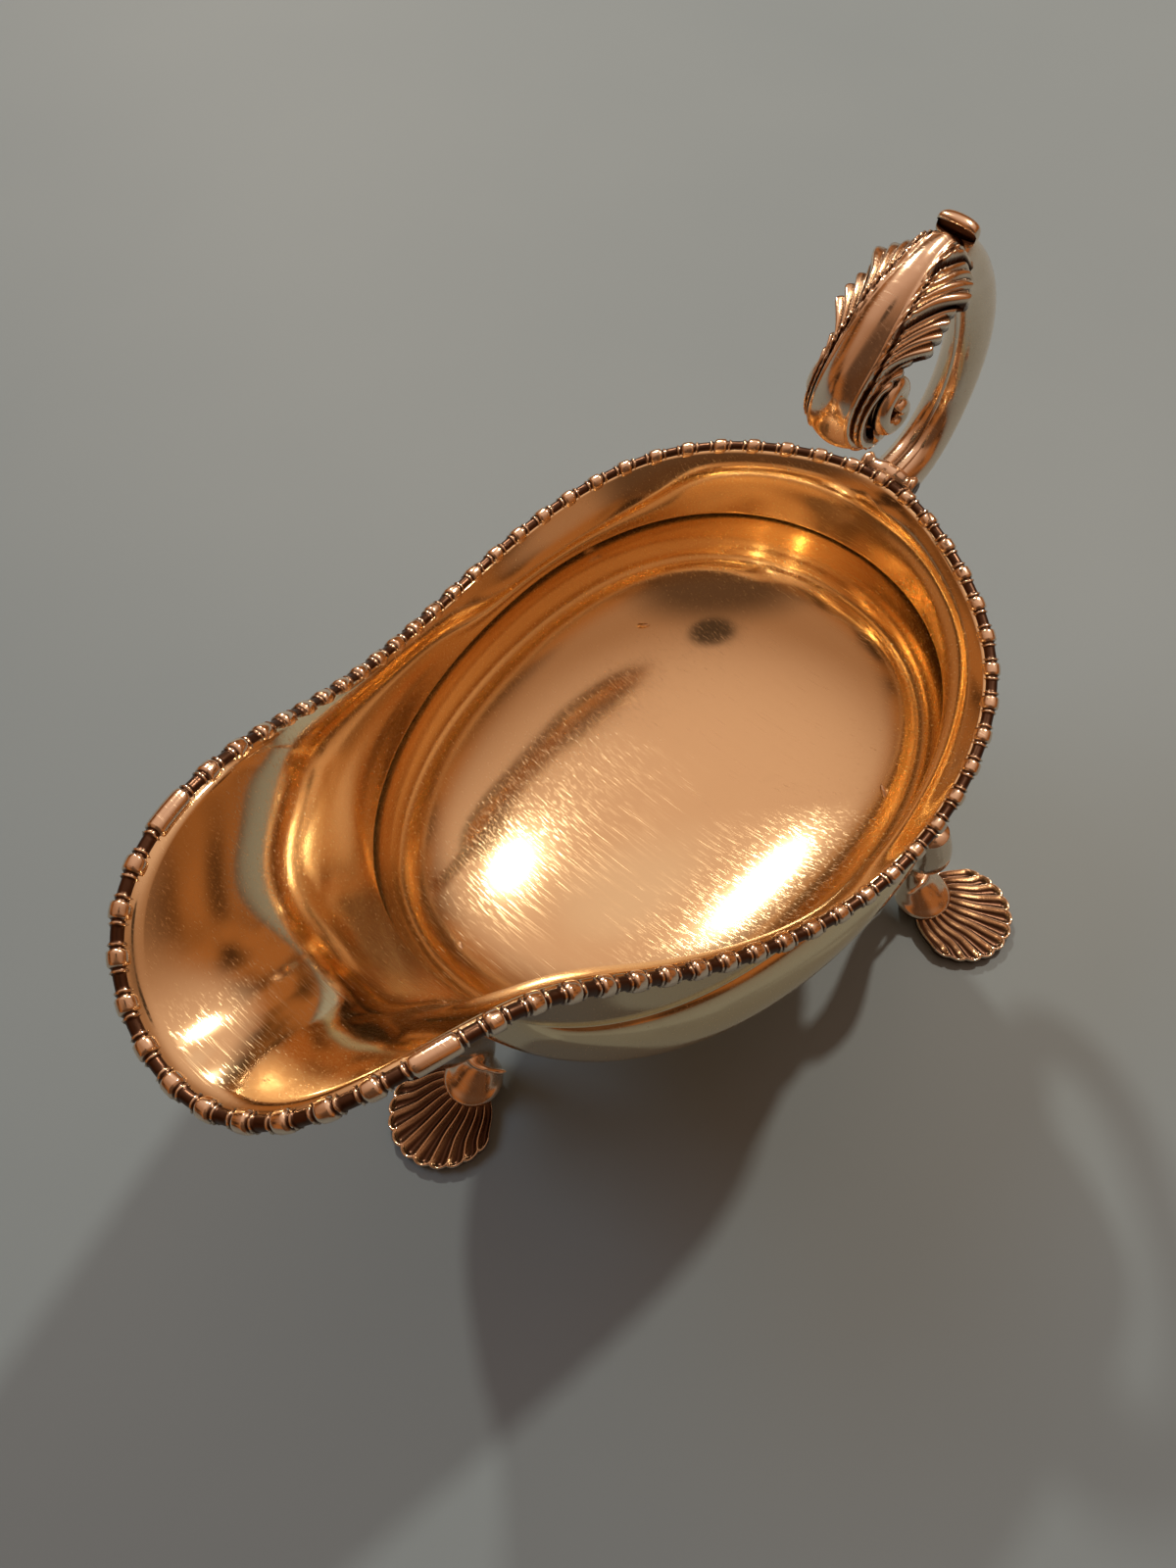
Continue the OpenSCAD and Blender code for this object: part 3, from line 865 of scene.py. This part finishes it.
def thumb_roll(name, x, z):
    outside = circle_points(HOOK_OUTER, HOOK_START, HOOK_END, 40)
    inside = circle_points(HOOK_INNER, HOOK_END, HOOK_START, 40)
    edge = circle_points((HOOK_OUTER - HOOK_INNER) / 2, HOOK_END, HOOK_END + 180, 14)[1:-1]
    hook = np.concatenate([outside, (outside[-1] + inside[0]) / 2 + edge, inside])
    share = np.linspace(-1, 1, 60)[:, None]
    size = np.maximum(np.cos(share * np.pi / 2), 0.002) ** 0.42
    y = HOOK_HALF_WIDTH * np.sin(share * np.pi / 2) * np.ones(len(hook))
    rings = np.stack([x + size * hook[:, 0], y, z + size * hook[:, 1]], axis=-1)
    # Only the outside and the bead keep full relief; the inside of the hook is painted dark as the shade in
    # its hollow
    polish_and_shade = np.arange(len(hook)) < len(outside) + len(edge)
    return tube_object(name, rings, polish_and_shade * np.ones((len(share), 1)))


thumb = thumb_roll("thumb_scroll", 61.6, TOP + 0.6)
finish_piece(thumb, ["handle_thumb_scroll"], cast_silver)

# %% [markdown]
# A volute is a rod along a spiral that shrinks and moves outwards at the same time. A core between
# the two keeps light from shining through the scroll; it is painted dark as the shade inside the scroll.
# The collar is a turned bar with a hollow neck on each side, drawn as one half and its mirror image.

# %% The volutes and the collar
EYE_X, EYE_Z = 40.6, 116.2
VOLUTE_TURNS, VOLUTE_STEPS = 1.6, 130
VOLUTE_START = math.radians(250)
# From its start to its eye: radius of the spiral, distance from the middle plane, radius of the rod
VOLUTE_REACH = (5.4, 0.9)
VOLUTE_OUT = (4.6, 7.3)
VOLUTE_THICK = (1.75, 1.25)


def volute(side):
    share = np.linspace(0, 1, VOLUTE_STEPS)
    turn = VOLUTE_START + share * VOLUTE_TURNS * 2 * np.pi
    r = mix(*VOLUTE_REACH, share**0.85)
    y = side * mix(*VOLUTE_OUT, smoothstep(0, 0.8, share))
    points = np.stack([EYE_X + r * np.cos(turn), y, EYE_Z + r * np.sin(turn)], axis=-1)
    return tube_object("volute", rod(points, mix(*VOLUTE_THICK, share)), np.ones((VOLUTE_STEPS, 20)))


core_outline = [[-6, 0.1], [-5.9, 3.0], [-4, 3.6], [0, 3.6], [4, 3.6], [5.9, 3.0], [6, 0.1]]
# Its relief of 0.1 paints the core dark, as painted shade inside the scroll
shade_core = turned_bar("volute_core", EYE_X, EYE_Z, core_outline, polish_and_shade=0.1)
scroll_eyes = join("scroll_volutes", [shade_core, volute(1), volute(-1)])
finish_piece(scroll_eyes, ["handle_scroll_eyes"], cast_silver)

half_collar = [[0, 2.1], [1.6, 2.15], [3.0, 1.75], [4.1, 1.7], [5.0, 2.25], [5.8, 1.9], [6.1, 0.1]]
collar_outline = [[-y, r] for y, r in half_collar[:0:-1]] + half_collar
collar = turned_bar("root_collar", BACK_REACH + 3.2, RIM_BACK - 0.6, collar_outline, tarnish=0.9)
finish_piece(collar, ["handle_root_collar"], cast_silver)

# %% [markdown]
# ## Legs
# Three short legs carry the bowl. Each is cast in three parts: a ribbed shell on the knee, a leg that
# thins and then spreads into a bell, and a scallop shell for a foot. They are the same three shapes put
# in three places, so each is a function of the knee's angle round the bowl and of the foot's place.

# %% Places of the feet
FOOT_RADIUS = 11.2
HINGE = 9.2
FLUTES = 11
LEG = 2.7
BELL = 6.2


class Foot:
    """A foot's middle, and the direction it points to; HINGE behind the middle its flutes meet."""

    def __init__(self, reach, around, points_to):
        around, turn = math.radians(around), math.radians(points_to)
        self.middle = np.array([reach * math.cos(around), reach * math.sin(around), 0])
        self.forward = np.array([math.cos(turn), math.sin(turn), 0])
        self.left = np.array([-math.sin(turn), math.cos(turn), 0])
        self.hinge = self.middle - HINGE * self.forward

    def place(self, points):
        """Points given forward, left and up from the hinge, put in the boat's place."""
        p = np.array(points, float)
        return self.hinge + p[..., :1] * self.forward + p[..., 1:2] * self.left + p[..., 2:] * [0, 0, 1]


FRONT_REACH, REAR_REACH = 73.0, 65.0
REAR_KNEE, REAR_FOOT, REAR_POINTS_TO = 62.0, 58.0, 74.0
legs = {
    "front": (180.0, Foot(FRONT_REACH, 180.0, 180.0)),
    "rear_left": (REAR_KNEE, Foot(REAR_REACH, REAR_FOOT, REAR_POINTS_TO)),
    "rear_right": (-REAR_KNEE, Foot(REAR_REACH, -REAR_FOOT, -REAR_POINTS_TO)),
}


def turned_about_bowl(points, degrees):
    a = math.radians(degrees)
    p = np.array(points, float)
    x = p[..., 0] * math.cos(a) - p[..., 1] * math.sin(a)
    y = p[..., 0] * math.sin(a) + p[..., 1] * math.cos(a)
    return np.stack([x, y, p[..., 2]], axis=-1)


for side, (knee, foot) in legs.items():
    print(side, "foot at", foot.middle.round(1), "mm, knee at", knee, "degrees")

# %% [markdown]
# The leg is a rod whose line bends in space from the knee to the hinge of its foot. Its lower end opens
# into a bell with a crisp round lip, which lies on the flutes like the beak of a shell. The bell is
# a cone that leans back at its top to meet the rod. A thin bar, pointed at both ends, crosses the front
# of the ankle and hides the solder; the knee has a larger one.

# %% The leg and its bell
ROD_STEPS, BAR_STEPS = 70, 60
ROOT_HEIGHT, KNEE_HEIGHT = 42.5, 35
ANKLE, SHANK_END = [-4.4, 0, 14.5], [-3.3, 0, 9.5]
# The shank's radius at its root, knee, middle, ankle and end
shank_radii = [LEG + 0.8, LEG + 1.1, LEG + 0.3, LEG - 0.3, LEG - 0.3]
# The bell's outline: radius, height, and how far it leans back, from the ankle down to its lip
bell_outline = [
    [2.35, 14, 4.35],
    [2.45, 11.6, 3.8],
    [2.7, 9.8, 3.15],
    [3.35, 8.4, 2.4],
    [4.3, 6.95, 1.55],
    [5.3, 5.45, 0.7],
    [BELL - 0.05, 4.2, 0.05],
    [BELL, 3.85, 0],
    [BELL - 0.3, 3.3, 0],
    [BELL - 0.6, 2.2, 0],
]


def pointed_bar(name, half_width, thickness, line):
    """A wavy bar that ends in two points; line gives its points from places t between -1 and 1."""
    t = np.linspace(-1, 1, BAR_STEPS)
    thick = thickness * np.sqrt(np.maximum(1 - t**2, 0)) * (0.75 + 0.25 * np.cos(2 * np.pi * t)) + 0.08
    return tube_object(name, rod(line(half_width, t), thick, 14), np.ones((BAR_STEPS, 14)))


def bell_object(foot):
    bell_at, length = spline(bell_outline)
    r, z, lean = bell_at(np.linspace(0, length, 80)).T[..., None]
    turn = np.linspace(0, 2 * np.pi, ROUND_STEPS, endpoint=False)
    rings = np.stack([r * np.cos(turn) - lean, r * np.sin(turn), z * np.ones(ROUND_STEPS)], axis=-1)
    # The undercut below the lip gets low relief, so it is painted dark as the lip's shadow
    lip_shadow_relief = 1 - 0.9 * smoothstep(3.75, 3.3, z) * np.ones(ROUND_STEPS)
    return tube_object("bell", foot.place(rings), lip_shadow_relief)


def leg_object(name, degrees, foot):
    reach = float(belly_reach(math.radians(degrees))) + 3
    out = turned_about_bowl([1, 0, 0], degrees)
    root = (reach - 3) * out + [0, 0, ROOT_HEIGHT]
    knee = (reach - 1.2) * out + [0, 0, KNEE_HEIGHT]
    ankle = foot.place(ANKLE)
    line = [root, knee, mix(knee, ankle, 0.5), ankle, foot.place(SHANK_END)]
    line_at, length = spline(np.column_stack([line, shank_radii]))
    q = line_at(np.linspace(0, length, ROD_STEPS))
    shank = tube_object(name, rod(q[:, :3], q[:, 3], 32), np.ones((ROD_STEPS, 32)))

    def ankle_line(half_width, t):
        height = 12.4 - 0.9 * np.cos(np.pi * t) + 1.6 * t**4
        return foot.place(np.stack([-1.1 - 2.2 * t**2, half_width * t, height], axis=-1))

    return join(name, [shank, bell_object(foot), pointed_bar("ankle_bar", 7.2, 1.0, ankle_line)])


print("bell:", len(bell_outline), "points give", round(spline(bell_outline)[1], 1), "mm of outline")

# %% [markdown]
# The foot is a scallop shell lying flat. Each flute is a trough with a round outer end, and the thin
# ridges between the troughs catch the light. A point's distance from the middle of its trough, divided
# by the trough's half width, gives both the height and the relief, and the outline is where that
# distance passes the ridge, so the scalloped edge follows by itself.

# %% The scallop shell foot
FAN = math.radians(57)
FAN_AT_BELL = math.radians(84)
LIP = 1.16
SOLE = 0.93
PER_FLUTE, FOOT_ROWS = 18, 48
FLUTES_START, CURVES_END = 1.5, 13.5
MIDDLE_THICK, EDGE_THICK = 3.3, 2.3
FLUTE_DEPTH = 1.45
# The wall below the fan's edge: heights as shares of the edge's, and how far each level is drawn in
FOOT_WALL = ((0.7, 1.0), (0.3, 0.99), (0.06, 0.965), (0.0, SOLE))


def side_faces(rows, columns):
    """Closes both sides of a flat roll of rows, whose first and last rows lie on each other."""
    faces = []
    for j in (0, columns - 1):
        for i in range(rows // 2 - 1):
            low = rows - 1 - i
            faces.append([k * columns + j for k in (i, i + 1, low - 1, low)])
        half = rows // 2
        faces.append([k * columns + j for k in (half - 1, half, half + 1)])
    return faces


def foot_object(name, foot):
    columns = FLUTES * PER_FLUTE + 1
    phase = np.linspace(0, FLUTES, columns)
    spread = (phase / FLUTES - 0.5) * 2
    middle = 2 * np.abs(phase - np.floor(phase) - 0.5)
    middle[-1] = 1
    aside = HINGE * np.sin(spread * FAN)
    far = HINGE * np.cos(spread * FAN) + np.sqrt(FOOT_RADIUS**2 - aside**2)
    round_end = far * math.sin(FAN / FLUTES) * 0.8
    trough_end = far - round_end
    edge = trough_end + round_end * np.sqrt(LIP**2 - (0.86 * middle) ** 2)
    share = np.linspace(0, 1, FOOT_ROWS)[:, None]
    rho = mix(FLUTES_START, edge[None, :], share**0.8)
    # The ridges leave the bell all round its lip, and bend forwards as they run out
    theta = spread[None, :] * mix(FAN_AT_BELL, FAN, smoothstep(0.5 * BELL, CURVES_END, rho))
    past = np.maximum(rho - trough_end[None, :], 0) / round_end[None, :]
    m = np.hypot(middle[None, :] * np.ones_like(rho), past)
    trough = np.clip(m, 0, 1) ** 2.4
    over = np.clip((m - 1) / (LIP - 1), 0, 1)
    body = mix(MIDDLE_THICK, EDGE_THICK, (rho / (FOOT_RADIUS + HINGE)) ** 1.3)
    depth = FLUTE_DEPTH * smoothstep(3.0, 9.0, rho)
    z = body - depth * (1 - trough) - 0.35 * over**2 * (past > 0)
    relief = mix(0.16, 1, np.clip(m, 0, 1) ** 2.6)
    top = np.stack([rho * np.cos(theta), rho * np.sin(theta), z], axis=-1)
    wall = np.stack([top[-1] * [shrink, shrink, height] for height, shrink in FOOT_WALL])
    sole = top[::-1] * [SOLE, SOLE, 0]
    grid = np.concatenate([top, wall, sole[1:]])
    total = len(grid)
    marks = np.concatenate([relief, 0.2 * np.ones((total - FOOT_ROWS, columns))])
    faces = grid_faces(total, columns, wrap_rows=True, wrap_columns=False) + side_faces(total, columns)
    return outward(new_object(name, foot.place(grid).reshape(-1, 3), faces, marks))


print(f"each flute spans {2 * math.degrees(FAN) / FLUTES:.1f} degrees of the fan")

# %% [markdown]
# The knee's shell opens upwards like a fan and lies against the belly. Its ribs meet at the bottom,
# where a thin moustache-shaped scroll, pointed at both ends, hides the solder line.

# %% The knuckle shell
RIBS, PER_RIB, SHELL_ROWS = 7, 20, 44
SHELL_HINGE, SHELL_STRETCH = 37.0, 1.45
SHELL_FAN = math.radians(80)
SHELL_RADIUS, RIB_OVERHANG = 9.4, 0.9
SHELL_SWELL, RIB_SWELL = 3.6, 2.2
SKIN_SINK = 0.25


def wall_reach(degrees, across, z):
    """How far out the bowl's wall is along the knee's direction, at a distance across it and a height."""
    knee = math.radians(degrees)
    reach = np.full(np.shape(across), float(belly_reach(knee)))
    for _ in range(6):
        reach = np.sqrt(belly_at_height(knee + np.arctan2(across, reach), z) ** 2 - across**2)
    return reach


def knuckle_object(name, degrees):
    columns = RIBS * PER_RIB + 1
    phase = np.linspace(0, RIBS, columns)
    fan = (phase / RIBS - 0.5) * 2 * SHELL_FAN
    middle = np.abs(np.sin(np.pi * phase))
    share = np.linspace(0, 1, SHELL_ROWS)[:, None]
    edge = SHELL_RADIUS + RIB_OVERHANG * middle
    rho = share * edge[None, :]
    across = rho * np.sin(fan)[None, :]
    z = SHELL_HINGE + rho * np.cos(fan)[None, :] * SHELL_STRETCH
    skin = wall_reach(degrees, across, z)
    dome = np.sin(np.pi * np.clip(share, 0, 1) ** 0.5) ** 0.75 * np.cos(fan * 0.8)[None, :] ** 0.5
    swell = (SHELL_SWELL + RIB_SWELL * middle[None, :] ** 0.8 * smoothstep(0.1, 0.6, share)) * dome
    top = np.stack([skin + swell - SKIN_SINK, across, z], axis=-1)
    under = np.stack([skin - SKIN_SINK - 0.2, across, z], axis=-1)
    grid = np.concatenate([top, under[::-1]])
    on_ribs = smoothstep(0.2, 0.85, middle)[None, :] * np.ones((SHELL_ROWS, 1))
    relief = np.concatenate([on_ribs, 0.2 * np.ones_like(on_ribs)])
    points = turned_about_bowl(grid, degrees)
    total = len(grid)
    faces = grid_faces(total, columns, wrap_rows=True, wrap_columns=False)
    left = [i * columns for i in range(total)]
    right = [i * columns + columns - 1 for i in range(total)]
    faces += [tuple(left), tuple(right[::-1])]
    shell = outward(new_object(name, points.reshape(-1, 3), faces, relief))
    base = float(wall_reach(degrees, 0.0, 38.5))

    def scroll_line(half_width, t):
        height = 37.8 - 1.3 * np.cos(np.pi * t) + 1.4 * t**4
        bar = np.stack([base + 4.2 - 3.8 * t**2, half_width * t, height], axis=-1)
        return turned_about_bowl(bar, degrees)

    return join(name, [shell, pointed_bar("moustache", 10.0, 1.15, scroll_line)])


print(f"the wall at the front knee is {float(wall_reach(180.0, 0.0, SHELL_HINGE)):.1f} mm from the middle")

# %% [markdown]
# The rear legs are each other's mirror image, and the front one stands on the middle plane. A mirror
# modifier would do for the rear pair, but a loop gives every casting its own name and its own CAD node.

# %% The three legs
for side, (knee, foot) in legs.items():
    leg = leg_object(f"{side}_leg_casting", knee, foot)
    scallop = foot_object(f"{side}_scallop_foot", foot)
    knuckle = knuckle_object(f"{side}_knuckle_fan", knee)
    finish_piece(leg, [f"{side}_leg"], cast_silver)
    finish_piece(scallop, [f"{side}_shell_foot"], cast_silver)
    finish_piece(knuckle, [f"{side}_knuckle_shell"], cast_silver)

# %% [markdown]
# ## The studio
# A mirror needs something to mirror. The boat stands on a plain table, painted grey-green, whose tone
# varies a little. It could be one flat colour, but the paint of a real table top is never quite even.

# %% The floor
FLOOR_HALF = 3.0
FLOOR_DARK, FLOOR_LIGHT = (0.172, 0.238, 0.288, 1), (0.198, 0.266, 0.315, 1)


def floor_paint():
    material = bpy.data.materials.new("floor_paint")
    material.use_nodes = True
    tree = Tree(material.node_tree)
    shader = material.node_tree.nodes["Principled BSDF"]
    cloud = tree.noise(tree.add("ShaderNodeTexCoord", out="Object"), 9.0, 3.0)
    tree.links.new(tree.blend(cloud, FLOOR_DARK, FLOOR_LIGHT).socket, shader.inputs["Base Color"])
    shader.inputs["Roughness"].default_value = 0.6
    return material


def studio_floor():
    mesh = bpy.data.meshes.new("studio_floor")
    corners = [(x * FLOOR_HALF, y * FLOOR_HALF, 0) for x, y in ((-1, -1), (1, -1), (1, 1), (-1, 1))]
    mesh.from_pydata(corners, [], [(0, 1, 2, 3)])
    mesh.materials.append(floor_paint())
    in_scene("studio_floor", mesh)


studio_floor()
print("floor", 2 * FLOOR_HALF, "m wide")

# %% [markdown]
# The room is the world's own light, made of nodes with no picture. Its walls are a soft noise of brown
# furniture and amber lamplight. The ceiling is peach, and brightest round the lamps. A haze surrounds
# them, and two dark shapes give the bowl's bottom something to mirror: someone who leans over the table,
# and a hand. Rays that come straight from the camera see a plain wall instead.

# %% The room
LAMP_WAY = (0.53, 0.35, 0.77)
HAZE = (1.0, 0.78, 0.64, 1)
PLAIN_WALL = (0.34, 0.33, 0.31, 1)

world = bpy.data.worlds.new("warm_room")
bpy.context.scene.world = world
world.use_nodes = True
room = Tree(world.node_tree)
direction = room.add("ShaderNodeTexCoord", out="Generated")
height = room.add("ShaderNodeSeparateXYZ", {}, {"Vector": direction}, out=2)
furniture = room.noise(direction, 2.6, 1.5).step(0.32, 0.6)
walls = room.blend(furniture, (0.05, 0.02, 0.008, 1), (0.38, 0.135, 0.038, 1))
near_lamps = room.vector("DOT_PRODUCT", direction, LAMP_WAY, out=1).step(0.35, 1.0)
ceiling = room.blend(near_lamps, (0.40, 0.20, 0.11, 1), (0.80, 0.50, 0.36, 1))
sky = room.blend(height.step(0.35, 0.62), walls, ceiling)
# Each round patch: its direction, the cosines where it starts and is full, its strength and its colour
for way, low, high, most, colour in (
    (LAMP_WAY, 0.98, 1.0, 0.45, HAZE),
    ((-0.66, -0.54, 0.52), 0.76, 0.95, 0.85, (0.07, 0.035, 0.02, 1)),
    ((-0.26, -0.215, 0.942), 0.988, 0.9965, 1.0, (0.07, 0.04, 0.025, 1)),
):
    cover = room.vector("DOT_PRODUCT", direction, way, out=1).step(low, high) * most
    sky = room.blend(cover, sky, colour)
sky = room.blend(room.add("ShaderNodeLightPath", out="Is Camera Ray"), sky, PLAIN_WALL)
background = world.node_tree.nodes["Background"]
room.links.new(sky.socket, background.inputs["Color"])
background.inputs["Strength"].default_value = 0.85
bpy.context.scene.view_settings.view_transform = "Standard"
print("nodes in the room:", len(room.nodes))

# %% [markdown]
# The camera looks steeply down from beyond the side of the lip, as a person who stands at the table
# does. It could be dragged into place, but numbers can be read: it aims at a point in the bowl, from a
# distance, after three turns. The first goes round the boat, the second tips the view down, and the
# third is the slight tilt of the hands that hold it.

# %% Camera
CAMERA_AIM = (-6.71, 6.53, 60.0)
CAMERA_DISTANCE = 241.2
CAMERA_AROUND, CAMERA_DOWN, CAMERA_ROLL = -47.455, 60.053, -1.384
LENS, SENSOR = 30.06, 36.0

camera_data = bpy.data.cameras.new("camera")
camera_data.sensor_fit = "AUTO"
camera_data.sensor_width = SENSOR
camera_data.lens = LENS
camera_data.clip_start = 0.01
camera_data.dof.use_dof = False
camera = in_scene("camera", camera_data)
bpy.context.scene.camera = camera
placed = Matrix.Translation(Vector(CAMERA_AIM) * MM)
for degrees, axis in ((CAMERA_AROUND, "Z"), (90 - CAMERA_DOWN, "X"), (CAMERA_ROLL, "Z")):
    placed = placed @ Matrix.Rotation(math.radians(degrees), 4, axis)
camera.matrix_world = placed @ Matrix.Translation((0, 0, CAMERA_DISTANCE * MM))
print("camera at", [round(v, 4) for v in camera.matrix_world.translation], "m")

# %% [markdown]
# Two small warm lamps overhead give the two bright spots on the bottom of the bowl, and the two
# shadows. A large cool one fills the shadows. It would show as a third bright spot, so it is hidden from
# reflections.

# %% Lamps


def lamp(name, place, size, watts, colour, mirrored=True):
    data = bpy.data.lights.new(name, "AREA")
    data.shape = "DISK"
    data.size = size
    data.energy = watts
    data.color = colour
    light = in_scene(name, data)
    light.visible_glossy = mirrored
    turn = (LAMP_AIM - Vector(place)).to_track_quat("-Z", "Y").to_matrix().to_4x4()
    light.matrix_world = Matrix.Translation(place) @ turn


LAMP_AIM = Vector((0, 0, 0.035))
WARM, COOL = (1.0, 0.84, 0.66), (0.82, 0.93, 1.0)
lamp("lamp_ahead", (1.05, 0.065, 1.28), 0.09, 12, WARM)
lamp("lamp_left", (0.75, 1.17, 1.19), 0.09, 13, WARM)
lamp("fill", (-0.5, 1.3, 1.6), 1.0, 7.5, COOL, mirrored=False)
print("lamps:", [light.name for light in bpy.data.lights])

# %% [markdown]
# The fine meshes may not outgrow the CAD model, because other things in the library are placed
# against its box.
